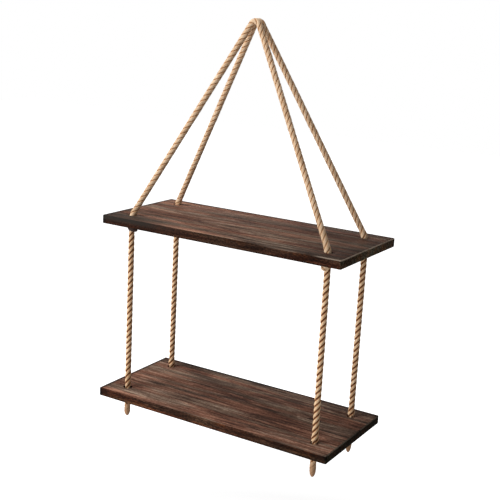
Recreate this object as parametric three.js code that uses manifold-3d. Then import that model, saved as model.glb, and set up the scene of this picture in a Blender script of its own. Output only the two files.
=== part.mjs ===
// A hanging shelf: two wooden boards, one above the other, carried at their corners by two ropes
// that fold side by side over one hook. Millimetres, +Z up, +X along the boards, +Y to the back.
// The origin is where the hook's top bears on the ropes.
import * as THREE from "three";
import { mergeVertices } from "three/addons/utils/BufferGeometryUtils.js";
import Module from "manifold-3d";

// Driving dimensions of the boards
const boardLength = 430;
const boardDepth = 190;
const boardThickness = 14;
const boardCornerRadius = 2.5;
const boardEdgeRadius = 1.5;
const hookToUpperBoard = 313;
const boardPitch = 298;
const holeDiameter = 13;
const holeEndInset = 36;
const holeSideInset = 31.5;

// Driving dimensions of the ropes
const ropeDiameter = 9;
const hookDiameter = 6;
const legAimDepth = 0.5;
const bightReach = 30;
const legTopReach = 45;
const knotHeight = 15.5;
const knotTurnDiameter = 7;
const knotTurnRadius = 5.4;
const knotShift = 3;
const knotRise = 0.5;
const knotToPivot = 7;
const neckReach = 6;
const tailLengths = { front_left: 38, front_right: 43, back_left: 40, back_right: 50 };

// The gap between pieces that touch
const pieceGap = 0.3;

// How finely round shapes are faceted
const ropeSides = 10;
const boardArcSegments = 6;
const boardEdgeSegments = 2;
const largeBallSegments = 40;
const smallBallSegments = 16;
const knotTurns = 1.5;
const knotTurnPieces = 3;
const knotTurnSteps = 4;

const ropeRadius = ropeDiameter / 2;
const hookCentre = new THREE.Vector3(0, 0, -hookDiameter / 2);
const foldRadius = hookDiameter / 2 + ropeRadius;
const upperTop = -hookToUpperBoard;
const upperUnderside = upperTop - boardThickness;
const lowerTop = upperTop - boardPitch;
const lowerUnderside = lowerTop - boardThickness;
const holeX = boardLength / 2 - holeEndInset;
const holeY = boardDepth / 2 - holeSideInset;
const ropeApart = ropeRadius + pieceGap / 2;
const upperPivotZ = upperUnderside - knotHeight - knotToPivot;
const lowerPivotZ = lowerTop - boardThickness / 2;

const corners = [
  { name: "front_left", side: -1, depth: -1 },
  { name: "front_right", side: 1, depth: -1 },
  { name: "back_left", side: -1, depth: 1 },
  { name: "back_right", side: 1, depth: 1 },
];

const wood = new THREE.MeshStandardMaterial({ color: 0x49352b, roughness: 0.55, metalness: 0 });
const rope = new THREE.MeshStandardMaterial({ color: 0xc6a273, roughness: 0.9, metalness: 0 });

const wasm = await Module();
wasm.setup();

const shelf = new THREE.Group();

function addMesh(name, geometry, material) {
  const mesh = new THREE.Mesh(geometry, material);
  mesh.name = name;
  shelf.add(mesh);
  return mesh;
}

// A closed geometry as a solid that can be joined and cut.
function solidOf(geometry) {
  const bare = geometry.clone();
  bare.deleteAttribute("normal");
  bare.deleteAttribute("uv");
  const merged = mergeVertices(bare);
  return new wasm.Manifold(
    new wasm.Mesh({
      numProp: 3,
      vertProperties: merged.getAttribute("position").array,
      triVerts: new Uint32Array(merged.index.array),
    }),
  );
}

function geometryOf(solid) {
  const mesh = solid.getMesh();
  const geometry = new THREE.BufferGeometry();
  geometry.setAttribute("position", new THREE.BufferAttribute(mesh.vertProperties, 3));
  geometry.setIndex(new THREE.BufferAttribute(mesh.triVerts, 1));
  geometry.computeVertexNormals();
  return geometry;
}

function ballSolid(centre, radius, segments) {
  const ball = new THREE.SphereGeometry(radius, segments, segments / 2);
  ball.translate(centre.x, centre.y, centre.z);
  return solidOf(ball);
}

function tubeSolid(path, radius, steps) {
  const section = [];
  for (let i = 0; i < ropeSides; i++) {
    const turn = (i / ropeSides) * 2 * Math.PI;
    section.push(new THREE.Vector2(radius * Math.cos(turn), radius * Math.sin(turn)));
  }
  return solidOf(new THREE.ExtrudeGeometry(new THREE.Shape(section), { steps, extrudePath: path }));
}

function uprightTube(x, y, lowZ, highZ) {
  const low = new THREE.Vector3(x, y, lowZ);
  const high = new THREE.Vector3(x, y, highZ);
  return tubeSolid(new THREE.LineCurve3(low, high), ropeRadius, 1);
}

// Boards: a flat plank with rounded corners, eased edges and four drilled holes
function boardGeometry() {
  const halfLength = boardLength / 2;
  const halfDepth = boardDepth / 2;
  const arcX = halfLength - boardCornerRadius;
  const arcY = halfDepth - boardCornerRadius;
  const outline = new THREE.Shape();
  outline.absarc(arcX, arcY, boardCornerRadius, 0, Math.PI / 2);
  outline.absarc(-arcX, arcY, boardCornerRadius, Math.PI / 2, Math.PI);
  outline.absarc(-arcX, -arcY, boardCornerRadius, Math.PI, 1.5 * Math.PI);
  outline.absarc(arcX, -arcY, boardCornerRadius, 1.5 * Math.PI, 2 * Math.PI);
  for (const corner of corners) {
    const hole = new THREE.Path();
    hole.absarc(corner.side * holeX, corner.depth * holeY, holeDiameter / 2, 0, 2 * Math.PI, true);
    outline.holes.push(hole);
  }
  const board = new THREE.ExtrudeGeometry(outline, {
    depth: boardThickness - 2 * boardEdgeRadius,
    bevelThickness: boardEdgeRadius,
    bevelSize: boardEdgeRadius,
    bevelOffset: -boardEdgeRadius,
    bevelSegments: boardEdgeSegments,
    curveSegments: boardArcSegments,
  });
  board.translate(0, 0, boardEdgeRadius - boardThickness);
  return board;
}

const plank = boardGeometry();
addMesh("upper_board", plank, wood).position.z = upperTop;
addMesh("lower_board", plank, wood).position.z = lowerTop;

// Each leg of rope leaves the fold on a tangent and aims at a point on its hole's centre line.
function legLine(corner) {
  const aim = new THREE.Vector3(corner.side * holeX, corner.depth * holeY, upperTop - legAimDepth);
  const drop = hookCentre.z - aim.z;
  const slope = Math.atan2(holeX, drop) - Math.asin(foldRadius / Math.hypot(holeX, drop));
  const start = new THREE.Vector3(
    corner.side * foldRadius * Math.cos(slope),
    corner.depth * ropeApart,
    hookCentre.z + foldRadius * Math.sin(slope),
  );
  const length = start.distanceTo(aim);
  const along = aim.clone().sub(start).divideScalar(length);
  return { aim, start, along, length, slope };
}

function pointOn(leg, distance) {
  return leg.start.clone().addScaledVector(leg.along, distance);
}

// Bights: each rope's fold over the hook, with the first of both of its legs
function bightSolid(left, right) {
  const outerShare = 1.25;
  const route = [pointOn(left, bightReach * outerShare), pointOn(left, bightReach / 2)];
  const foldSteps = 6;
  for (let i = 0; i <= foldSteps; i++) {
    const turn = Math.PI - left.slope - (i / foldSteps) * (Math.PI - 2 * left.slope);
    route.push(
      new THREE.Vector3(
        foldRadius * Math.cos(turn),
        left.start.y,
        hookCentre.z + foldRadius * Math.sin(turn),
      ),
    );
  }
  route.push(pointOn(right, bightReach / 2), pointOn(right, bightReach * outerShare));
  const path = new THREE.CatmullRomCurve3(route, false, "centripetal");
  const steps = Math.ceil(path.getLength() / (ropeDiameter / 2));
  const ball = ballSolid(hookCentre, bightReach, largeBallSegments);
  return tubeSolid(path, ropeRadius, steps).intersect(ball);
}

const legs = Object.fromEntries(corners.map((corner) => [corner.name, legLine(corner)]));
addMesh("bight_front", geometryOf(bightSolid(legs.front_left, legs.front_right)), rope);
addMesh("bight_back", geometryOf(bightSolid(legs.back_left, legs.back_right)), rope);

// Leg tops: the short stretches below the bights, on which the legs swing to the front and back
function legTopSolid(leg) {
  const path = new THREE.LineCurve3(pointOn(leg, bightReach / 2), pointOn(leg, legTopReach + ropeDiameter));
  const outer = ballSolid(hookCentre, legTopReach, largeBallSegments);
  const inner = ballSolid(hookCentre, bightReach + pieceGap, largeBallSegments);
  return tubeSolid(path, ropeRadius, 2).intersect(outer).subtract(inner);
}

// Legs: straight down to the upper board, with a bend to upright inside its hole
function legSolid(leg) {
  const bendReach = boardThickness - legAimDepth - knotRise;
  const bendStart = pointOn(leg, leg.length - bendReach);
  const bendEnd = new THREE.Vector3(leg.aim.x, leg.aim.y, upperUnderside + knotRise);
  const path = new THREE.CurvePath();
  path.add(new THREE.LineCurve3(pointOn(leg, legTopReach - ropeDiameter), bendStart));
  path.add(new THREE.QuadraticBezierCurve3(bendStart, leg.aim, bendEnd));
  const steps = Math.ceil(path.getLength() / ropeDiameter);
  const inner = ballSolid(hookCentre, legTopReach + pieceGap, largeBallSegments);
  return tubeSolid(path, ropeRadius, steps).subtract(inner);
}

// Knots: the rope itself, with a turn wound round it that bulges towards the board's middle.
// The knot's top is drawn a little way up into the hole, so that the turn bears on the hole's rim.
function knotTurnPoint(share) {
  const turn = knotTurns * 2 * Math.PI * share;
  const swellStartShare = 0.2;
  const swellShare = Math.sin(Math.PI * (swellStartShare + (1 - swellStartShare) * share)) ** 0.6;
  return new THREE.Vector3(
    swellShare * (knotShift + knotTurnRadius * Math.cos(turn)),
    swellShare * knotTurnRadius * Math.sin(turn),
    knotRise - knotTurnDiameter / 2 - (knotRise + knotHeight - knotTurnDiameter) * share,
  );
}

function knotTurnSolid() {
  const overlapShare = 0.02;
  const pieces = [];
  for (let i = 0; i < knotTurnPieces; i++) {
    const from = Math.max(0, i / knotTurnPieces - overlapShare);
    const to = Math.min(1, (i + 1) / knotTurnPieces + overlapShare);
    const route = [];
    for (let k = 0; k <= knotTurnSteps; k++) {
      route.push(knotTurnPoint(from + ((to - from) * k) / knotTurnSteps));
    }
    const path = new THREE.CatmullRomCurve3(route, false, "centripetal");
    pieces.push(tubeSolid(path, knotTurnDiameter / 2, knotTurnSteps));
  }
  return pieces.reduce((whole, piece) => whole.add(piece));
}

// A knot hangs at the middle of its hole, just under the board, with its turns towards the board's middle.
function placedTurn(corner, underside) {
  const heading = corner.side < 0 ? 0 : 180;
  return knotTurnSolid()
    .rotate([0, 0, heading])
    .translate([corner.side * holeX, corner.depth * holeY, underside - pieceGap]);
}

function upperKnotSolid(corner, pivot) {
  const core = uprightTube(pivot.x, pivot.y, pivot.z, upperUnderside + knotRise - pieceGap);
  const socket = ballSolid(pivot, neckReach, smallBallSegments);
  return core.add(placedTurn(corner, upperUnderside)).subtract(socket);
}

// A lower knot includes the rope in its hole, up to the middle of the board.
function lowerKnotSolid(corner, pivot, onNeck) {
  const core = uprightTube(pivot.x, pivot.y, lowerUnderside - knotHeight, pivot.z);
  const knot = core.add(placedTurn(corner, lowerUnderside));
  if (onNeck) return knot.subtract(ballSolid(pivot, neckReach, smallBallSegments));
  return knot.add(neckSolid(pivot));
}

// Necks: the short round-ended stretches in which the rope bends where it leaves a knot or a board
function neckSolid(pivot) {
  const ball = ballSolid(pivot, neckReach - pieceGap, smallBallSegments);
  return uprightTube(pivot.x, pivot.y, pivot.z - neckReach, pivot.z + neckReach).intersect(ball);
}

// Stretches: the rope between the boards, hollowed at both ends round the necks
function stretchSolid(upperPivot, lowerPivot) {
  return uprightTube(upperPivot.x, upperPivot.y, lowerPivot.z, upperPivot.z)
    .subtract(ballSolid(upperPivot, neckReach, smallBallSegments))
    .subtract(ballSolid(lowerPivot, neckReach, smallBallSegments));
}

// Tails: the rope's cut ends, a little swollen and then narrowed to a round tip
function tailGeometry(length) {
  const profileShares = [
    [1, 0],
    [1.04, 0.3],
    [0.98, 0.55],
    [0.8, 0.8],
    [0.55, 0.94],
    [0.3, 0.99],
  ];
  const profile = [new THREE.Vector2(0, -length)];
  for (const [widthShare, dropShare] of profileShares.toReversed()) {
    profile.push(new THREE.Vector2(ropeRadius * widthShare, -length * dropShare));
  }
  profile.push(new THREE.Vector2(0, 0));
  return new THREE.LatheGeometry(profile, ropeSides).rotateX(Math.PI / 2);
}

for (const corner of corners) {
  const { name } = corner;
  const leg = legs[name];
  const upperPivot = new THREE.Vector3(leg.aim.x, leg.aim.y, upperPivotZ);
  const lowerPivot = new THREE.Vector3(leg.aim.x, leg.aim.y, lowerPivotZ);
  const onNeck = name === "front_left";
  addMesh("leg_top_" + name, geometryOf(legTopSolid(leg)), rope);
  addMesh("leg_" + name, geometryOf(legSolid(leg)), rope);
  addMesh("upper_knot_" + name, geometryOf(upperKnotSolid(corner, upperPivot)), rope);
  addMesh("neck_" + name, geometryOf(neckSolid(upperPivot)), rope);
  addMesh("stretch_" + name, geometryOf(stretchSolid(upperPivot, lowerPivot)), rope);
  if (onNeck) addMesh("hole_neck_" + name, geometryOf(neckSolid(lowerPivot)), rope);
  addMesh("lower_knot_" + name, geometryOf(lowerKnotSolid(corner, lowerPivot, onNeck)), rope);
  const tail = tailGeometry(tailLengths[name] - knotHeight - pieceGap);
  addMesh("tail_" + name, tail, rope).position.set(
    leg.aim.x,
    leg.aim.y,
    lowerUnderside - knotHeight - pieceGap,
  );
}

export default shelf;
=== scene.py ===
# A hanging shelf of two dark-stained boards. Two twisted jute ropes fold side by side over one hook
# and carry the boards at their corners, with a knot under every hole.
# Metres, +Z up, +X along the boards, +Y to the back. The hook's top bears on the ropes at the origin.
import math

import bpy
import numpy as np
from mathutils import Matrix, Vector, noise


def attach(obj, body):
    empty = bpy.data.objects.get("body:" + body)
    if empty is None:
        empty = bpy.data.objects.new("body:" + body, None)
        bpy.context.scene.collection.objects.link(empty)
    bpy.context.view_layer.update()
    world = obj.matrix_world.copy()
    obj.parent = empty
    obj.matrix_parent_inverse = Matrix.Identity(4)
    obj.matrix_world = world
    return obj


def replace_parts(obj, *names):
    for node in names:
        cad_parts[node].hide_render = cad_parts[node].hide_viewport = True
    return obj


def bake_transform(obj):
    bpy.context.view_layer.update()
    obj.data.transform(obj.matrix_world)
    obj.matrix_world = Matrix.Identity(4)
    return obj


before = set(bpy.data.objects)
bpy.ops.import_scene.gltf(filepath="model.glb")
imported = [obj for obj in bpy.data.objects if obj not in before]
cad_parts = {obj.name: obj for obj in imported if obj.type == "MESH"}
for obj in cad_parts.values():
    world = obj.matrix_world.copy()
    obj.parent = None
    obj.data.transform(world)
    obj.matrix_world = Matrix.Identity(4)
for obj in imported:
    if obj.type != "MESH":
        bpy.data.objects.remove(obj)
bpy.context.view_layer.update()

# Camera
# It stands where the photograph was taken from: in front of the shelf and to its right, about as
# high as the hook. Its place, turn and lens are worked out from the board corners and the ropes.
camera_place = (0.7859, -1.3164, 0.0259)
camera_turn_degrees = (76.14, -3.044, 31.292)
camera_lens_mm = 71.11

bpy.ops.object.camera_add(location=camera_place)
camera = bpy.context.object
camera.name = "photograph_camera"
camera.rotation_euler = [math.radians(turn) for turn in camera_turn_degrees]
camera.data.lens = camera_lens_mm
bpy.context.scene.camera = camera

# The two ropes
# Each is one length of three-strand jute. It is knotted under both boards at their left end, runs up
# over the hook, and is knotted under both boards at their right end. The front rope and the back
# rope lie side by side on the hook. Each piece of rope below is cut from one of these two lines.
rope_diameter = 0.009
hook_diameter = 0.006
piece_gap = 0.0003
hook_to_upper_board = 0.313
board_pitch = 0.298
board_thickness = 0.014
hole_x = 0.179
hole_y = 0.0635
leg_aim_depth = 0.0005
knot_rise = 0.0005
tail_lengths = {"front_left": 0.038, "front_right": 0.043, "back_left": 0.040, "back_right": 0.050}
fold_points = 24
bend_points = 12
sample_step = 0.001

hook_middle_z = -hook_diameter / 2
fold_radius = hook_diameter / 2 + rope_diameter / 2
rope_apart = rope_diameter / 2 + piece_gap / 2
upper_top = -hook_to_upper_board
upper_underside = upper_top - board_thickness
lower_top = upper_top - board_pitch
lower_underside = lower_top - board_thickness
sides = {"left": -1, "right": 1}
depths = {"front": -1, "back": 1}


def half_rope(side, depth, tail_length):
    """Points down the middle of half a rope, from the top of its fold to the tip of its tail."""
    aim = Vector((side * hole_x, depth * hole_y, upper_top - leg_aim_depth))
    drop = hook_middle_z - aim.z
    slope = math.atan2(hole_x, drop) - math.asin(fold_radius / math.hypot(hole_x, drop))
    points = []
    for i in range(fold_points + 1):
        turn = math.pi / 2 + (slope - math.pi / 2) * i / fold_points
        x = side * fold_radius * math.cos(turn)
        z = hook_middle_z + fold_radius * math.sin(turn)
        points.append(Vector((x, depth * rope_apart, z)))
    along = (aim - points[-1]).normalized()
    bend_reach = board_thickness - leg_aim_depth - knot_rise
    bend_start = aim - bend_reach * along
    bend_end = Vector((aim.x, aim.y, upper_underside + knot_rise))
    for i in range(bend_points + 1):
        share = i / bend_points
        before = bend_start.lerp(aim, share)
        after = aim.lerp(bend_end, share)
        points.append(before.lerp(after, share))
    points.append(Vector((aim.x, aim.y, lower_underside - tail_length)))
    return points


def laid_line(points, step):
    """Even samples along the points. At each there are two directions across the line that don't twist."""
    points = np.array(points)
    lengths = np.linalg.norm(np.diff(points, axis=0), axis=1)
    reached = np.concatenate([[0], np.cumsum(lengths)])
    along = np.linspace(0, reached[-1], round(reached[-1] / step) + 1)
    middle = np.stack([np.interp(along, reached, points[:, axis]) for axis in range(3)], axis=1)
    forward = np.gradient(middle, axis=0)
    forward /= np.linalg.norm(forward, axis=1, keepdims=True)
    across = np.empty_like(middle)
    previous = np.cross(forward[0], (1, 0, 0))
    for i, direction in enumerate(forward):
        turned = previous - direction * previous.dot(direction)
        across[i] = previous = turned / np.linalg.norm(turned)
    return {"along": along, "middle": middle, "across": across, "up": np.cross(forward, across)}


ropes = {}
for depth_name, depth in depths.items():
    left = half_rope(-1, depth, tail_lengths[depth_name + "_left"])
    right = half_rope(1, depth, tail_lengths[depth_name + "_right"])
    ropes[depth_name] = laid_line(left[::-1] + right[1:], sample_step)


def sample_at(rope, side, height):
    """The sample of a rope's left or right half that is nearest to a height."""
    middle = rope["middle"]
    on_side = middle[:, 0] * side >= 0
    off_by = np.where(on_side, np.abs(middle[:, 2] - height), np.inf)
    return int(np.argmin(off_by))


def from_top(rope, side, distance):
    """The sample at a distance from the top of a rope's fold, on its left or right half."""
    top = int(np.argmax(rope["middle"][:, 2]))
    return top + side * round(distance / sample_step)


def length_between(rope, first, last):
    """The samples of a rope from one to another, in the rope's own order."""
    low, high = sorted((first, last))
    return {key: values[low : high + 1] for key, values in rope.items()}


# Folds over the hook
# Each rope's two legs are one piece of rope, bent round the top of the hook. Jute is laid from three
# strands, and each strand is spun from yarns that show as fine ridges. The legs, the folds and the
# turns of the knots are pulled so tight, or so worn, that their grooves are partly closed.
strand_count = 3
strand_sides = 24
fan_middle_share = 0.5
strand_offset_share = 0.285
strand_depth_share = 0.25
strand_width_share = 0.33
closed_width_share = 0.45
lay_length_share = 3.4
lay_length = lay_length_share * rope_diameter
lay_wander_turns = 0.06
lay_wander_length = 0.07
swell_share = 0.035
swell_length = 0.022
swell_row_step = 7.0
off_grid = 0.5
yarn_count = 7
yarn_ridge_share = 0.035
yarn_slant = 1.8
smooth_angle = math.radians(50)
fold_half_length = 0.002
leg_closing_share = 0.45

crown_colours = ((0.3, (0.42, 0.25, 0.13)), (0.5, (0.69, 0.47, 0.28)), (0.7, (0.92, 0.73, 0.52)))
# Painted shade: these colours darken the rope towards the bottoms of the grooves between its strands
groove_shade_colours = ((0.1, (1.0, 1.0, 1.0)), (0.26, (0.74, 0.53, 0.35)), (0.42, (0.22, 0.10, 0.045)))
# Painted shade: this tint darkens the closed lengths, the legs, folds, knot turns and tail ends
closed_length_shade_tint = (0.82, 0.82, 0.85, 1.0)
tip_colour = (0.32, 0.165, 0.08, 1.0)
# Painted shadow: the colour of the one knot's turn that lies in the shade of the board above it
knot_shadow_colour = (0.05, 0.028, 0.022, 1.0)
fibre_length = 0.014
fibre_width_share = 0.045
fibre_detail = 4.0
fibre_bump_depth = 0.00012
jute_patches_per_metre = 60.0
jute_patch_detail = 2.0
jute_patch_share = 0.35
jute_roughness = 0.85
jute_specular = 0.25
jute_sheen = 0.1
jute_sheen_roughness = 0.5
bump_strength = 0.8


def add_node(tree, kind, inputs=None, **settings):
    """A shader node, with its settings, and its inputs given as values or as other nodes' outputs."""
    made = tree.nodes.new("ShaderNode" + kind)
    for name, value in settings.items():
        setattr(made, name, value)
    for name, value in (inputs or {}).items():
        if isinstance(value, bpy.types.NodeSocket):
            tree.links.new(value, made.inputs[name])
        else:
            made.inputs[name].default_value = value
    return made


def combined(tree, operation, first, second):
    """One value worked out from two."""
    return add_node(tree, "Math", {0: first, 1: second}, operation=operation).outputs[0]


def blended(tree, blend_type, share, first, second):
    """Two colours mixed by a share. In the Mix node, inputs 6 and 7 and output 2 are its colours."""
    inputs = {0: share, 6: first, 7: second}
    mixed = add_node(tree, "Mix", inputs, data_type="RGBA", blend_type=blend_type)
    return mixed.outputs[2]


def ramp(tree, value, stops):
    """A value turned into a colour by stops of place and colour."""
    made = add_node(tree, "ValToRGB", {0: value})
    elements = made.color_ramp.elements
    while len(elements) < len(stops):
        elements.new(1.0)
    for element, (place, colour) in zip(elements, stops):
        element.position = place
        element.color = (*colour, 1.0)
    return made.outputs[0]


def attribute(tree, name):
    """A value that a mesh keeps for its material."""
    return add_node(tree, "Attribute", attribute_name=name).outputs["Fac"]


def new_material(name):
    """A material, its node tree, and the shader of its surface."""
    material = bpy.data.materials.new(name)
    material.use_nodes = True
    tree = material.node_tree
    return material, tree, tree.nodes["Principled BSDF"]


def jute_material():
    """Pale twisted jute: fibres in line with the yarns, and brown at the tails' tips. Painted shade darkens
    the grooves and the closed lengths, and a painted shadow darkens the turn of one knot."""
    material, tree, surface = new_material("twisted_jute")
    place = add_node(tree, "SeparateXYZ", {0: add_node(tree, "UVMap", uv_map="along_rope").outputs[0]})
    along, around = place.outputs[0], place.outputs[1]
    slanted = combined(tree, "ADD", around, combined(tree, "MULTIPLY", along, yarn_slant / lay_length))
    fibres_along = combined(tree, "DIVIDE", along, fibre_length)
    fibres_around = combined(tree, "DIVIDE", slanted, fibre_width_share)
    fibre_place = add_node(tree, "CombineXYZ", {0: fibres_along, 1: fibres_around}).outputs[0]
    fibre_inputs = {"Vector": fibre_place, "Scale": 1.0, "Detail": fibre_detail}
    fibres = add_node(tree, "TexNoise", fibre_inputs).outputs[0]
    own_place = add_node(tree, "TexCoord").outputs["Object"]
    patch_inputs = {"Vector": own_place, "Scale": jute_patches_per_metre, "Detail": jute_patch_detail}
    patches = add_node(tree, "TexNoise", patch_inputs).outputs[0]

    uneven = blended(tree, "MIX", jute_patch_share, fibres, patches)
    crowns = ramp(tree, uneven, crown_colours)
    # Painted shade in the grooves, deeper where they are open
    grooves = ramp(tree, attribute(tree, "groove"), groove_shade_colours)
    colour = blended(tree, "MULTIPLY", 1.0, crowns, grooves)
    colour = blended(tree, "MULTIPLY", attribute(tree, "closed_shade"), colour, closed_length_shade_tint)
    colour = blended(tree, "MIX", attribute(tree, "tip"), colour, tip_colour)
    colour = blended(tree, "MIX", attribute(tree, "painted_knot_shadow"), colour, knot_shadow_colour)
    tree.links.new(colour, surface.inputs["Base Color"])
    bump_inputs = {"Height": fibres, "Distance": fibre_bump_depth, "Strength": bump_strength}
    tree.links.new(add_node(tree, "Bump", bump_inputs).outputs[0], surface.inputs["Normal"])
    surface.inputs["Roughness"].default_value = jute_roughness
    surface.inputs["Specular IOR Level"].default_value = jute_specular
    surface.inputs["Sheen Weight"].default_value = jute_sheen
    surface.inputs["Sheen Roughness"].default_value = jute_sheen_roughness
    return material


jute = jute_material()


def wandering(along, length, row):
    """A slow, smooth, uneven value from -1 to 1 at each distance along a rope."""
    return np.array([noise.noise(Vector((distance / length, row, off_grid))) for distance in along])


def strand_rings(run, diameter, strand, thickness, closing):
    """Rings of points round one strand of a length of rope, the middles of its first and last ring,
    and how deep in a groove each point is."""
    along = run["along"]
    turns = along / lay_length + lay_wander_turns * wandering(along, lay_wander_length, 0.0)
    turn = 2 * math.pi * (turns + strand / strand_count)[:, None]
    around = 2 * math.pi * np.arange(strand_sides)[None] / strand_sides - math.pi
    outward = run["across"] * np.cos(turn) + run["up"] * np.sin(turn)
    sideways = run["up"] * np.cos(turn) - run["across"] * np.sin(turn)
    swell = 1 + swell_share * wandering(along, swell_length, swell_row_step * (strand + 1))
    size = (diameter * thickness * swell)[:, None]
    closing = closing[:, None]
    ridge = 1 + yarn_ridge_share * (1 - closing) * np.cos(yarn_count * (around + yarn_slant * turn))
    width = strand_width_share + (closed_width_share - strand_width_share) * closing
    out = size * (strand_offset_share + strand_depth_share * ridge * np.cos(around))
    aside = size * width * ridge * np.sin(around)
    rings = run["middle"][:, None] + out[..., None] * outward[:, None] + aside[..., None] * sideways[:, None]
    middles = run["middle"] + size * strand_offset_share * outward
    groove = (1 - np.cos(around)) / 2 * (1 - closing)
    return rings.reshape(-1, 3), middles[[0, -1]], groove.ravel()


def strand_faces(number, first_middle):
    """The faces of one strand: its wall, and a fan at each end round the middle of the end ring."""
    following = np.roll(number, -1, axis=1)
    wall = np.stack([number[:-1], following[:-1], following[1:], number[1:]], axis=-1)
    start = np.stack([np.full(strand_sides, first_middle), following[0], number[0]], axis=-1)
    finish = np.stack([np.full(strand_sides, first_middle + 1), number[-1], following[-1]], axis=-1)
    return wall.reshape(-1, 4).tolist() + start.tolist() + finish.tolist()


def strand_places(along):
    """Where the corners of those faces lie in the fibres' pattern: how far along the rope, and how
    far round the strand."""
    low = np.broadcast_to(np.arange(strand_sides) / strand_sides, (len(along), strand_sides))
    high = low + 1 / strand_sides
    far = np.repeat(along[:, None], strand_sides, axis=1)
    wall_u = np.stack([far[:-1], far[:-1], far[1:], far[1:]], axis=-1)
    wall_v = np.stack([low[:-1], high[:-1], high[1:], low[1:]], axis=-1)
    places = [np.stack([wall_u.ravel(), wall_v.ravel()], axis=-1)]
    for end, edges in ((0, (high[0], low[0])), (-1, (low[0], high[0]))):
        fan_v = np.stack([np.full(strand_sides, fan_middle_share), *edges], axis=-1)
        places.append(np.stack([np.full(fan_v.size, along[end]), fan_v.ravel()], axis=-1))
    return places


def keep_values(mesh, name, domain, values):
    """Keeps a value on each point or face corner of a mesh, for its material."""
    layer = mesh.attributes.new(name, "FLOAT", domain)
    layer.data.foreach_set("value", values)


def rope_piece(name, *runs):
    """One mesh of laid rope. Each run is a length of line, the rope's diameter there, and at each
    sample its thickness as a share of that and the share by which its grooves are closed. Each
    strand takes its fibres from a part of the pattern that lies one metre further on."""
    points, faces, places = [], [], []
    kept = {"groove": [], "closed_shade": [], "tip": []}
    made = 0
    for run, diameter, thickness, closing in runs:
        count = len(run["along"])
        # Painted shade: how far each closed length is darkened by the shade tint
        closed_shade = np.clip(closing / leg_closing_share, 0, 1)
        tip = np.sqrt(np.clip((closing - leg_closing_share) / (1 - leg_closing_share), 0, 1))
        for strand in range(strand_count):
            rings, middles, groove = strand_rings(run, diameter, strand, thickness, closing)
            number = made + np.arange(count * strand_sides).reshape(count, strand_sides)
            first_middle = made + count * strand_sides
            points += [rings, middles]
            faces += strand_faces(number, first_middle)
            places += strand_places(run["along"] + strand)
            kept["groove"] += [groove, np.zeros(len(middles))]
            kept["closed_shade"] += [np.repeat(closed_shade, strand_sides), closed_shade[[0, -1]]]
            kept["tip"] += [np.repeat(tip, strand_sides), tip[[0, -1]]]
            made = first_middle + len(middles)
    mesh = bpy.data.meshes.new(name)
    mesh.from_pydata(np.concatenate(points).tolist(), [], faces)
    mesh.uv_layers.new(name="along_rope").data.foreach_set("uv", np.concatenate(places).ravel())
    for kept_name, values in kept.items():
        keep_values(mesh, kept_name, "POINT", np.concatenate(values))
    mesh.materials.append(jute)
    piece = bpy.data.objects.new(name, mesh)
    bpy.context.scene.collection.objects.link(piece)
    bpy.ops.object.select_all(action="DESELECT")
    piece.select_set(True)
    bpy.context.view_layer.objects.active = piece
    bpy.ops.object.shade_smooth_by_angle(angle=smooth_angle)
    return piece


def plain_rope_piece(name, rope, first, last, closing=0.0, thickness_share=1.0):
    """A piece cut from a rope between two samples, equally thick all along."""
    run = length_between(rope, first, last)
    full = np.ones(len(run["along"]))
    return rope_piece(name, (run, rope_diameter, thickness_share * full, closing * full))


folds = {}
for depth_name, rope in ropes.items():
    first = from_top(rope, -1, fold_half_length)
    last = from_top(rope, 1, fold_half_length)
    fold = plain_rope_piece("rope_fold_" + depth_name, rope, first, last, leg_closing_share)
    folds[depth_name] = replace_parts(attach(fold, "bights"), "bight_" + depth_name)

# Legs
# The four straight lengths from the hook to the upper board's holes, each made in two pieces: its
# shoulder round the hook, where the rope rolls as the shelf sways sideways, and the leg below it, where
# the rope gives just under the hook as the shelf sways to the front and back. The leg bends to upright
# inside its hole, and fills it.
shoulder_end = 0.009
leg_swell_share = 0.16
leg_swell_length = 0.018
leg_swell_in_hole_share = 1 / 3


def swollen_in_hole(run):
    """The thickness of a leg, which swells where it bends in the upper board's hole."""
    above = run["middle"][:, 2] - upper_top
    in_swell = np.clip(above / leg_swell_length + leg_swell_in_hole_share, 0, 1)
    return 1 + leg_swell_share * np.sin(math.pi * in_swell) ** 2


corners = {}
for depth_name, rope in ropes.items():
    for side_name, side in sides.items():
        name = depth_name + "_" + side_name
        shoulder_start = from_top(rope, side, fold_half_length)
        leg_start = from_top(rope, side, shoulder_end)
        knot_start = sample_at(rope, side, upper_underside + knot_rise)
        span = (shoulder_start, leg_start)
        shoulder = plain_rope_piece("rope_shoulder_" + name, rope, *span, leg_closing_share)
        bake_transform(shoulder)
        leg_run = length_between(rope, leg_start, knot_start)
        thickness = swollen_in_hole(leg_run)
        closing = np.full(len(thickness), leg_closing_share)
        leg = rope_piece("rope_leg_" + name, (leg_run, rope_diameter, thickness, closing))
        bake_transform(leg)
        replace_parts(shoulder, "leg_top_" + name)
        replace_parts(leg, "leg_" + name)
        corners[name] = {
            "rope": rope,
            "side": side,
            "depth": depths[depth_name],
            "fold": folds[depth_name],
            "shoulder": shoulder,
            "leg": leg,
            "leg_run": leg_run,
            "leg_start": leg_start,
            "knot_start": knot_start,
        }

# Upper knots
# Under each hole of the upper board the rope is tied in an overhand knot, pulled tight. It is drawn
# a little way up into the hole, and bulges towards the board's middle. The board rests on it, and
# the turn of one knot is darkened with a painted shadow from the board.
knot_height = 0.0155
knot_turns = 1.5
knot_turn_points = 60
knot_turn_diameter = 0.007
knot_turn_radius = 0.0054
knot_shift = 0.003
knot_swell_start_share = 0.2
knot_swell_power = 0.6
tuck_length = 0.006
tucked_share = 0.5
shadowed_knot = "rope_upper_knot_front_left"


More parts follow.
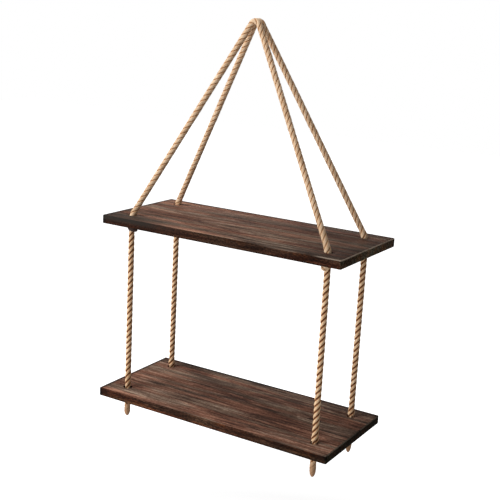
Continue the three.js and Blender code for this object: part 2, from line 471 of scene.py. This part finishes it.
def knot_turn(side, depth, underside):
    """Points along the turn that the rope takes round itself in a knot under a board."""
    points = []
    for i in range(knot_turn_points + 1):
        share = i / knot_turn_points
        turn = knot_turns * 2 * math.pi * share
        bulge = math.sin(math.pi * (knot_swell_start_share + (1 - knot_swell_start_share) * share))
        swell = max(bulge, 0) ** knot_swell_power
        out = swell * (knot_shift + knot_turn_radius * math.cos(turn))
        aside = swell * knot_turn_radius * math.sin(turn)
        fall = (knot_rise + knot_height - knot_turn_diameter) * share
        height = knot_rise - knot_turn_diameter / 2 - fall - piece_gap
        points.append((side * (hole_x - out), depth * hole_y - side * aside, underside + height))
    return points


def knot_piece(name, corner, first, last, underside):
    """A knot: the rope straight through it, and the turn round that, tucked in at both of its ends.
    A point of the mesh is in the turn if it comes after the straight rope's rings and end middles."""
    core = length_between(corner["rope"], first, last)
    full = np.ones(len(core["along"]))
    turn = laid_line(knot_turn(corner["side"], corner["depth"], underside), sample_step)
    to_end = np.minimum(turn["along"], turn["along"][-1] - turn["along"])
    thickness = np.interp(to_end, (0, tuck_length), (tucked_share, 1))
    piece = rope_piece(
        name,
        (core, rope_diameter, full, np.zeros(len(full))),
        (turn, knot_turn_diameter, thickness, np.full(len(thickness), leg_closing_share)),
    )
    # Painted shadow: this knot's turn is coloured dark, as if in the shade of the board above it
    if name == shadowed_knot:
        in_core = strand_count * (strand_sides * len(full) + 2)
        in_turn = np.arange(len(piece.data.vertices)) >= in_core
        keep_values(piece.data, "painted_knot_shadow", "POINT", in_turn.astype(float))
    return piece


for name, corner in corners.items():
    corner["knot_end"] = sample_at(corner["rope"], corner["side"], upper_underside - knot_height)
    span = (corner["knot_start"], corner["knot_end"])
    knot = knot_piece("rope_upper_knot_" + name, corner, *span, upper_underside)
    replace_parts(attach(knot, "upper_shelf"), "upper_knot_" + name)
    run = corner["leg_run"]

# Lengths between the boards
# The four upright lengths that carry the lower board. They pull less than the legs and are a little
# thicker. Each is made in two pieces: the short neck under each knot, where the rope gives when the
# lower board swings sideways, and the length below it, whose top is where the rope gives when the
# board swings to the front or back. Its foot is in a hole.
knot_to_pivot = 0.007
slack_share = 1.05
squeezed_share = 0.82
free_height = 0.0035
hole_swell_share = 0.2
hole_swell_length = 0.012
overlap = 0.002
overlap_share = 0.92
loose_corner = "front_left"

upper_pivot_z = upper_underside - knot_height - knot_to_pivot
lower_pivot_z = lower_top - board_thickness / 2


def squeezed_by_hole(run, swell_above):
    """The thickness of a rope in the lower board's hole, which squeezes it, and swells it above."""
    above = run["middle"][:, 2] - lower_top
    swell = swell_above * np.sin(math.pi * np.clip(above / hole_swell_length, 0, 1)) ** 2
    return np.interp(above, (0, free_height), (squeezed_share, slack_share)) + swell


for name, corner in corners.items():
    rope, side = corner["rope"], corner["side"]
    upper_pivot = sample_at(rope, side, upper_pivot_z)
    lower_pivot = sample_at(rope, side, lower_pivot_z)
    span = (corner["knot_end"], upper_pivot)
    neck = plain_rope_piece("rope_neck_" + name, rope, *span, thickness_share=slack_share)
    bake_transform(neck)
    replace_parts(neck, "neck_" + name)
    run = length_between(rope, upper_pivot, lower_pivot + side * round(overlap / sample_step))
    from_foot = np.abs(run["middle"][:, 2] - (lower_pivot_z - overlap))
    foot = np.interp(from_foot, (0, overlap), (overlap_share, 1))
    swell_above = 0.0 if name == loose_corner else hole_swell_share
    thickness = foot * squeezed_by_hole(run, swell_above)
    open_lay = np.zeros(len(thickness))
    stretch = rope_piece("rope_stretch_" + name, (run, rope_diameter, thickness, open_lay))
    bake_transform(stretch)
    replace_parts(stretch, "stretch_" + name)
    corner.update(neck=neck, stretch=stretch, stretch_run=run)
    corner.update(upper_pivot=upper_pivot, lower_pivot=lower_pivot)
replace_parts(corners["front_left"]["stretch"], "hole_neck_front_left")

# Lower knots and tails
# The same knots hold up the lower board. What is left of each rope hangs below its knot as a tail,
# a little swollen where the lay has opened, with its end glued and rounded so that it can't fray.
tail_swell_share = 0.05
tail_round_share = 0.5
tip_flat_share = 0.001
tip_length = 0.045
tail_rings = 40


def tail_run(corner, first, last):
    """The samples of a tail, closer together towards its tip, and its thickness and closing there."""
    run = length_between(corner["rope"], first, last)
    down = run["middle"][:, 2].max() - run["middle"][:, 2]
    order = np.argsort(down)
    share = np.sin(np.linspace(0, math.pi / 2, tail_rings))
    wanted = share * down.max()
    if corner["side"] < 0:
        wanted, share = wanted[::-1], share[::-1]
    finer = {"along": np.interp(wanted, down[order], run["along"][order])}
    for key in ("middle", "across", "up"):
        columns = [np.interp(wanted, down[order], run[key][order, axis]) for axis in range(3)]
        finer[key] = np.stack(columns, axis=1)
    swell = 1 + tail_swell_share * np.sin(math.pi * np.clip(share / (2 * tail_round_share), 0, 1))
    rounded = np.clip((share - tail_round_share) / (1 - tail_round_share), 0, 1)
    thickness = swell * np.sqrt(1 - (1 - tip_flat_share) * rounded**2)
    closing = np.clip(1 - (down.max() - wanted) / tip_length, 0, 1)
    return finer, thickness, closing


for name, corner in corners.items():
    knot_end = sample_at(corner["rope"], corner["side"], lower_underside - knot_height)
    tail_end = sample_at(corner["rope"], corner["side"], lower_underside - tail_lengths[name])
    knot = knot_piece("rope_lower_knot_" + name, corner, corner["lower_pivot"], knot_end, lower_underside)
    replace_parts(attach(knot, "lower_shelf"), "lower_knot_" + name)
    run, thickness, closing = tail_run(corner, knot_end, tail_end)
    tail = rope_piece("rope_tail_" + name, (run, rope_diameter, thickness, closing))
    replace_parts(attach(tail, "lower_shelf"), "tail_" + name)
    run = corner["stretch_run"]

# Boards
# Two planks of softwood, planed, with their corners rounded and their edges eased, four holes
# drilled through each, and a dark walnut stain that has taken more deeply on the edges and the end
# grain. The upper edges at the front and the right carry a paler painted highlight.
board_length = 0.430
board_depth = 0.190
corner_radius = 0.0025
edge_radius = 0.0015
rim_radius = 0.0012
hole_radius = 0.0065
hole_sides = 48
corner_segments = 6
edge_segments = 3
edge_tolerance = 0.0001
board_smooth_angle = math.radians(40)


def select_edges(board, wanted):
    """Selects the edges of a board whose two ends both satisfy a test on their places."""
    bpy.ops.object.mode_set(mode="EDIT")
    bpy.ops.mesh.select_mode(type="EDGE")
    bpy.ops.mesh.select_all(action="DESELECT")
    bpy.ops.object.mode_set(mode="OBJECT")
    mesh = board.data
    for edge in mesh.edges:
        start, end = (mesh.vertices[i].co for i in edge.vertices)
        edge.select = wanted(start, end)
    bpy.ops.object.mode_set(mode="EDIT")


def off_hole(place):
    """How far a place is, seen from above, from the middle of the nearest hole."""
    return math.hypot(abs(place.x) - hole_x, abs(place.y) - hole_y)


def drill_hole(board, place):
    """Drills one hole through a board."""
    depth = 2 * board_thickness
    bpy.ops.mesh.primitive_cylinder_add(vertices=hole_sides, radius=hole_radius, depth=depth, location=place)
    drill = bpy.context.object
    bpy.ops.object.select_all(action="DESELECT")
    board.select_set(True)
    bpy.context.view_layer.objects.active = board
    hole = board.modifiers.new("hole", "BOOLEAN")
    hole.operation = "DIFFERENCE"
    hole.object = drill
    bpy.ops.object.modifier_apply(modifier=hole.name)
    bpy.data.objects.remove(drill)


def plank(top):
    """A plank with rounded corners, eased edges and four drilled holes."""
    bottom = top - board_thickness
    middle_z = (top + bottom) / 2
    bpy.ops.object.select_all(action="DESELECT")
    bpy.ops.mesh.primitive_cube_add(size=1, location=(0, 0, middle_z))
    board = bpy.context.object
    board.scale = (board_length, board_depth, board_thickness)
    bpy.ops.object.transform_apply(location=True, rotation=False, scale=True)

    def upright(start, end):
        return abs(start.z - end.z) > edge_tolerance

    def on_face(start, end):
        level = abs(start.z - end.z) < edge_tolerance
        return level and min(abs(start.z - top), abs(start.z - bottom)) < edge_tolerance

    def on_rim(start, end):
        rim = hole_radius + edge_tolerance
        return on_face(start, end) and off_hole(start) < rim and off_hole(end) < rim

    def on_outline(start, end):
        middle = (start + end) / 2
        inside = min(board_length / 2 - abs(middle.x), board_depth / 2 - abs(middle.y))
        return on_face(start, end) and inside < corner_radius / 2 and off_hole(middle) > 2 * hole_radius

    select_edges(board, upright)
    bpy.ops.mesh.bevel(offset=corner_radius, segments=corner_segments, affect="EDGES")
    bpy.ops.object.mode_set(mode="OBJECT")
    for side in sides.values():
        for depth in depths.values():
            drill_hole(board, (side * hole_x, depth * hole_y, middle_z))
    select_edges(board, on_rim)
    bpy.ops.mesh.bevel(offset=rim_radius, segments=edge_segments, affect="EDGES")
    bpy.ops.object.mode_set(mode="OBJECT")
    select_edges(board, on_outline)
    bpy.ops.mesh.bevel(offset=edge_radius, segments=edge_segments, affect="EDGES")
    bpy.ops.object.mode_set(mode="OBJECT")
    bpy.ops.object.shade_smooth_by_angle(angle=board_smooth_angle)
    return board


face_stain_share = 1.0
long_edge_stain_share = 0.21
end_grain_stain_share = 0.23
eased_edge_stain_share = 0.2
# Painted highlight: the upper front and right arrises keep more colour than the other eased edges
highlit_edge_stain_share = 0.26
# Painted shade: the rim and wall of the hole that its rope doesn't fill are coloured nearly black
loose_hole_shade_share = 0.08
flat_tilt = math.radians(5)


def set_stain(board, top, loose_hole, front_highlight_share, end_highlight_share):
    """Says on each face how much of the colour the stain leaves there, and how much painted highlight it
    takes. The rims of the holes are stained like the faces, but for the one that its rope doesn't fill,
    which is darkened with painted shade."""
    middle_z = top - board_thickness / 2
    stains, highlight_shares = [], []
    for face in board.data.polygons:
        painted_highlight = 0.0
        if off_hole(face.center) < hole_radius + rim_radius:
            # Painted shade on the loose hole's rim and wall
            at_loose_hole = loose_hole and face.center.x < 0 and face.center.y < 0
            stain = loose_hole_shade_share if at_loose_hole else face_stain_share
        elif abs(face.normal.z) > math.cos(flat_tilt):
            stain = face_stain_share
        elif abs(face.normal.z) < edge_tolerance:
            share = abs(face.normal.x)
            stain = end_grain_stain_share * share + long_edge_stain_share * (1 - share)
        else:
            stain = eased_edge_stain_share
            # The upper arrises at the right and the front take a painted highlight
            if face.center.z > middle_z and face.normal.x > edge_tolerance:
                stain = highlit_edge_stain_share
                painted_highlight = end_highlight_share
            elif face.center.z > middle_z and face.normal.y < -edge_tolerance:
                stain = highlit_edge_stain_share
                painted_highlight = front_highlight_share
        stains += [stain] * face.loop_total
        highlight_shares += [painted_highlight] * face.loop_total
    keep_values(board.data, "stain", "CORNER", stains)
    keep_values(board.data, "painted_highlight", "CORNER", highlight_shares)


wood_colours = (
    (0.42, (0.027, 0.015, 0.011)),
    (0.475, (0.092, 0.054, 0.040)),
    (0.525, (0.160, 0.102, 0.077)),
    (0.60, (0.345, 0.252, 0.192)),
)
red_tint = (1.22, 0.90, 0.78, 1.0)
grey_tint = (0.98, 1.0, 0.95, 1.0)
edge_tint = (1.12, 0.82, 0.68, 1.0)
end_tint = (0.90, 1.15, 1.09, 1.0)
ochre_tint = (1.5, 1.2, 0.9, 1.0)
# Painted highlight: the pale colour of the upper front and right arrises, where light glints on the eased
# edges
arris_highlight_colour = (0.27, 0.21, 0.165, 1.0)
pooled_colour = (0.021, 0.018, 0.015, 1.0)

# Each unevenness of the wood: its marks per metre along and across the grain, detail and roughness
grain_noises = {
    "drift": (5, 18, 2.0, 0.5),
    "patches": (7, 22, 3.0, 0.5),
    "streaks": (15, 190, 6.0, 0.7),
    "fine": (220, 700, 4.0, 0.7),
    "bands": (4, 60, 3.0, 0.5),
    "sawn": (260, 700, 3.0, 0.7),
    "ochre": (20, 90, 4.0, 0.65),
    "arris_highlight": (12, 60, 3.0, 0.5),
    "pores": (70, 1500, 2.0, 0.5),
}
# Between these two values of a noise, what it brings fades in
grain_marks = {
    "bands": (0.42, 0.58),
    "sawn": (0.38, 0.62),
    "ochre": (0.5, 0.62),
    "arris_highlight": (0.28, 0.5),
    "pores": (0.36, 0.46),
}
grain_shares = {"rings": 0.05, "patches": 0.25, "streaks": 0.45, "fine": 0.25}
ring_width = 0.0055
wave_ring_width = math.pi / 10
ring_drift = 0.02
ring_distortion = 1.2
ring_detail = 3.0
pore_share = 0.5
pore_depth = 0.00025
wood_roughnesses = (0.55, 0.8)
end_roughness = 1.0
wood_specular = 0.03

edge_stain_shares = (0.9, 0.6)
sawn_shares = (0.45, 1.6)
pool_width = 0.042
pool_length = 0.2
pool_share = 0.85
pool_fade_share = 0.25
back_border = 0.010
left_border = 0.008
border_share = 0.3
back_reach = 0.055
back_shares = (1.25, 2.0)
highlight_start = 0.06


def between(tree, value, low, high):
    """0 where a value is at its low mark, 1 where it is at its high mark, and smooth between."""
    marks = {"Value": value, "From Min": low, "From Max": high}
    return add_node(tree, "MapRange", marks, interpolation_type="SMOOTHSTEP").outputs[0]


def spread(tree, value, low, high):
    """A value from 0 to 1 made one from low to high."""
    return add_node(tree, "MapRange", {"Value": value, "To Min": low, "To Max": high}).outputs[0]


def scaled(tree, colour, share):
    """A colour times a share."""
    return add_node(tree, "VectorMath", {0: colour, "Scale": share}, operation="SCALE").outputs[0]


def grain_noise(tree, place, kind):
    """One unevenness of the wood, drawn out along the grain, and faded in where it has marks."""
    along, across, detail, roughness = grain_noises[kind]
    drawn_out = add_node(tree, "Mapping", {"Vector": place, "Scale": (along, across, across)}).outputs[0]
    inputs = {"Vector": drawn_out, "Scale": 1.0, "Detail": detail, "Roughness": roughness}
    made = add_node(tree, "TexNoise", inputs).outputs[0]
    return between(tree, made, *grain_marks[kind]) if kind in grain_marks else made


def growth_rings(tree, place):
    """Growth rings round the pith. The Wave node's rings have a width of their own at a scale of 1."""
    drift = combined(tree, "MULTIPLY", grain_noise(tree, place, "drift"), ring_drift)
    drifted = add_node(tree, "VectorMath", {0: place, 1: drift}, operation="ADD").outputs[0]
    scale = wave_ring_width / ring_width
    inputs = {"Vector": drifted, "Scale": scale, "Distortion": ring_distortion, "Detail": ring_detail}
    settings = {"wave_type": "RINGS", "rings_direction": "X", "wave_profile": "SAW"}
    return add_node(tree, "TexWave", inputs, **settings).outputs[1]


def grain_colour(tree, place, streaks, fine):
    """The colour of a planed face, redder in some bands than in others."""
    patterns = {"rings": growth_rings(tree, place), "patches": grain_noise(tree, place, "patches")}
    patterns.update(streaks=streaks, fine=fine)
    parts = {kind: combined(tree, "MULTIPLY", patterns[kind], share) for kind, share in grain_shares.items()}
    slow = combined(tree, "ADD", parts["rings"], parts["patches"])
    quick = combined(tree, "ADD", parts["streaks"], parts["fine"])
    colour = ramp(tree, combined(tree, "ADD", slow, quick), wood_colours)
    tint = blended(tree, "MIX", grain_noise(tree, place, "bands"), grey_tint, red_tint)
    return blended(tree, "MULTIPLY", 1.0, colour, tint)


def edge_colour(tree, place, colour, on_edge, at_end):
    """The grain's colour, but rough and speckled on the edges and the ends, with ochre spots there."""
    speckled = scaled(tree, colour, spread(tree, grain_noise(tree, place, "sawn"), *sawn_shares))
    side_tint = blended(tree, "MIX", at_end, edge_tint, end_tint)
    speckled = blended(tree, "MULTIPLY", 1.0, speckled, side_tint)
    colour = blended(tree, "MIX", on_edge, colour, speckled)
    ochre = combined(tree, "MULTIPLY", grain_noise(tree, place, "ochre"), on_edge)
    return blended(tree, "MIX", ochre, colour, blended(tree, "MULTIPLY", 1.0, colour, ochre_tint))


def along_board(tree, x, left_share, right_share):
    """One share over the board's left half, changing evenly to another at its right end."""
    marks = {"Value": x, "From Min": 0.0, "From Max": board_length / 2}
    return add_node(tree, "MapRange", {**marks, "To Min": left_share, "To Max": right_share}).outputs[0]


def kept_share(tree, x, from_back, on_edge, at_end, look):
    """How much of its colour each part of a board keeps under the stain, and under the painted shade that
    darkens the upper board's faces towards the right end.
    """
    near_back = between(tree, from_back, back_reach, back_reach / 2)
    back_share = spread(tree, near_back, 1.0, along_board(tree, x, *back_shares))
    # On the upper board this darkens the faces towards the right end: painted shade
    kept_on_face = combined(tree, "MULTIPLY", along_board(tree, x, *look["face_stain_and_shade_shares"]), back_share)
    kept_at_end = spread(tree, at_end, 1.0, look["end_share"])
    kept_on_edge = combined(tree, "MULTIPLY", along_board(tree, x, *look["edge_shares"]), kept_at_end)
    deeper = add_node(tree, "Mix", {0: on_edge, 2: kept_on_face, 3: kept_on_edge}).outputs[0]
    return combined(tree, "MULTIPLY", attribute(tree, "stain"), deeper)


def border_shading(tree, from_left, from_back):
    """Darker along the back edge and the left end, where more stain has run."""
    off_back = between(tree, from_back, back_border / 2, back_border)
    off_left = between(tree, from_left, left_border / 2, left_border)
    return spread(tree, combined(tree, "MULTIPLY", off_back, off_left), border_share, 1.0)


def pooled_stain(tree, from_left, y, z, middle_z):
    """How far the stain has pooled: along the front edge near its left end, on the upper side."""
    from_front = combined(tree, "ADD", y, board_depth / 2)
    near_front = between(tree, from_front, pool_width, pool_width / 2)
    near_left = between(tree, from_left, pool_length, pool_fade_share * pool_length)
    fade_depth = pool_fade_share * board_thickness
    near_top = between(tree, z, middle_z - fade_depth, middle_z + fade_depth)
    pool = combined(tree, "MULTIPLY", combined(tree, "MULTIPLY", near_front, near_left), pool_share)
    return combined(tree, "MULTIPLY", pool, near_top)


def stained_softwood(name, middle_z, pattern_start, look):
    """Dark-stained softwood. The growth rings run round a pith that lies along the board, below it.
    The faces and the edges each keep one share of their colour over the left half and another at
    the right end, the faces more of it towards the back, and the end grain its own share."""
    material, tree, surface = new_material(name)
    own_place = add_node(tree, "TexCoord").outputs["Object"]
    pith_y, pith_z = look["pith"]
    shift = (pattern_start, pith_y, pith_z - middle_z)
    place = add_node(tree, "Mapping", {"Vector": own_place, "Location": shift}).outputs[0]
    x, y, z = add_node(tree, "SeparateXYZ", {0: own_place}).outputs
    from_left = combined(tree, "ADD", x, board_length / 2)
    from_back = combined(tree, "SUBTRACT", board_depth / 2, y)
    at_end = between(tree, x, board_length / 2 - 2 * edge_radius, board_length / 2 - edge_radius)
    on_edge = between(tree, attribute(tree, "stain"), *edge_stain_shares)
    streaks = grain_noise(tree, place, "streaks")
    fine = grain_noise(tree, place, "fine")

    colour = grain_colour(tree, place, streaks, fine)
    colour = edge_colour(tree, place, colour, on_edge, at_end)
    colour = scaled(tree, colour, kept_share(tree, x, from_back, on_edge, at_end, look))
    colour = scaled(tree, colour, border_shading(tree, from_left, from_back))
    if look["pooled"]:
        pool = pooled_stain(tree, from_left, y, z, middle_z)
        colour = blended(tree, "MIX", pool, colour, pooled_colour)
    # Painted highlight along the upper front and right arrises, broken up by noise and faded in towards the
    # right
    arris_highlight = combined(tree, "MULTIPLY", attribute(tree, "painted_highlight"), grain_noise(tree, place, "arris_highlight"))
    arris_highlight = combined(tree, "MULTIPLY", arris_highlight, between(tree, x, highlight_start, hole_x))
    tree.links.new(blended(tree, "MIX", arris_highlight, colour, arris_highlight_colour), surface.inputs["Base Color"])

    pores = combined(tree, "MULTIPLY", grain_noise(tree, place, "pores"), pore_share)
    relief = combined(tree, "ADD", pores, fine)
    bump_inputs = {"Height": relief, "Distance": pore_depth, "Strength": bump_strength}
    tree.links.new(add_node(tree, "Bump", bump_inputs).outputs[0], surface.inputs["Normal"])
    sheen = spread(tree, streaks, *wood_roughnesses)
    rougher = add_node(tree, "Mix", {0: at_end, 2: sheen, 3: end_roughness}).outputs[0]
    tree.links.new(rougher, surface.inputs["Roughness"])
    surface.inputs["Specular IOR Level"].default_value = wood_specular
    return material


# The boards show different lengths of the pattern: each one's starts at its height times this step
pattern_step = 3
board_tops = {"upper": upper_top, "lower": lower_top}
# Where the pith lies, across from the board's middle line and down from its middle plane, the shares
# of colour that the board keeps, and how much painted highlight its edges take. The upper board's faces
# keep less towards the right end: painted shade.
board_looks = {
    "upper": {
        "pith": (0.012, 0.075),
        "face_stain_and_shade_shares": (1.04, 0.27),
        "edge_shares": (0.48, 1.5),
        "end_share": 1.2,
        "front_highlight_share": 0.75,
        "end_highlight_share": 1.0,
        "pooled": True,
        "loose_hole": False,
    },
    "lower": {
        "pith": (-0.020, 0.062),
        "face_stain_and_shade_shares": (1.16, 1.0),
        "edge_shares": (0.9, 0.36),
        "end_share": 1.0,
        "front_highlight_share": 0.25,
        "end_highlight_share": 0.4,
        "pooled": False,
        "loose_hole": True,
    },
}

first_plank = plank(upper_top)
for name, top in board_tops.items():
    look = board_looks[name]
    mesh = first_plank.data.copy()
    mesh.transform(Matrix.Translation((0, 0, top - upper_top)))
    board = bpy.data.objects.new("board_" + name, mesh)
    bpy.context.scene.collection.objects.link(board)
    set_stain(board, top, look["loose_hole"], look["front_highlight_share"], look["end_highlight_share"])
    middle_z = top - board_thickness / 2
    mesh.materials.append(stained_softwood("stained_wood_" + name, middle_z, pattern_step * top, look))
    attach(board, name + "_shelf")
    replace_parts(board, name + "_board")
bpy.data.objects.remove(first_plank)

# Floor, background and light
# A pale floor well below the shelf, white to the camera in the distance, and soft studio light from
# the left in front and from high above.
floor_height = -1.25
floor_half_width = 8.0
floor_colour = (0.85, 0.85, 0.85, 1.0)
floor_roughness = 0.9
near_white = 0.9
far_white = 1.5
near_glow = 0.35
white = (1.0, 1.0, 1.0, 1.0)
ambient_strength = 0.28
shelf_middle = Vector((0, 0, lower_top / 2))
key_lamp_place = (-1.55, -1.85, 0.15)
key_lamp_width = 1.15
key_lamp_watts = 58
top_lamp_place = (-0.7, -0.6, 1.7)
top_lamp_width = 1.6
top_lamp_watts = 32


def seen_directly(tree):
    """1 for a ray from the camera, or one that reached here by a reflection or through glass."""
    path = add_node(tree, "LightPath")
    seen = combined(tree, "MAXIMUM", path.outputs["Is Camera Ray"], path.outputs["Is Glossy Ray"])
    return combined(tree, "MAXIMUM", seen, path.outputs["Is Transmission Ray"])


def floor_material():
    """A matt pale floor. Away from the shelf it glows to full white where it is seen directly."""
    material, tree, surface = new_material("studio_floor")
    surface.inputs["Base Color"].default_value = floor_colour
    surface.inputs["Roughness"].default_value = floor_roughness
    surface.inputs["Specular IOR Level"].default_value = 0.0
    surface.inputs["Emission Color"].default_value = white
    place = add_node(tree, "TexCoord").outputs["Object"]
    distance = add_node(tree, "VectorMath", {0: place}, operation="LENGTH").outputs["Value"]
    marks = {"Value": distance, "From Min": near_white, "From Max": far_white, "To Min": near_glow}
    glow = add_node(tree, "MapRange", marks).outputs[0]
    seen_glow = combined(tree, "MULTIPLY", glow, seen_directly(tree))
    tree.links.new(seen_glow, surface.inputs["Emission Strength"])
    return material


bpy.ops.mesh.primitive_plane_add(size=2 * floor_half_width, location=(0, 0, floor_height))
floor = bpy.context.object
floor.name = "studio_floor"
floor.data.materials.append(floor_material())

world = bpy.context.scene.world or bpy.data.worlds.new("studio")
bpy.context.scene.world = world
world.use_nodes = True
background = world.node_tree.nodes["Background"]
background.inputs["Color"].default_value = white
seen_strength = spread(world.node_tree, seen_directly(world.node_tree), ambient_strength, 1.0)
world.node_tree.links.new(seen_strength, background.inputs["Strength"])


def soft_lamp(name, place, width, watts):
    """A square lamp that faces the middle of the shelf."""
    bpy.ops.object.light_add(type="AREA", location=place)
    lamp = bpy.context.object
    lamp.name = name
    lamp.data.size = width
    lamp.data.energy = watts
    lamp.rotation_euler = (shelf_middle - lamp.location).to_track_quat("-Z", "Y").to_euler()


soft_lamp("key_lamp", key_lamp_place, key_lamp_width, key_lamp_watts)
soft_lamp("top_lamp", top_lamp_place, top_lamp_width, top_lamp_watts)

bpy.context.scene.view_settings.view_transform = "Standard"
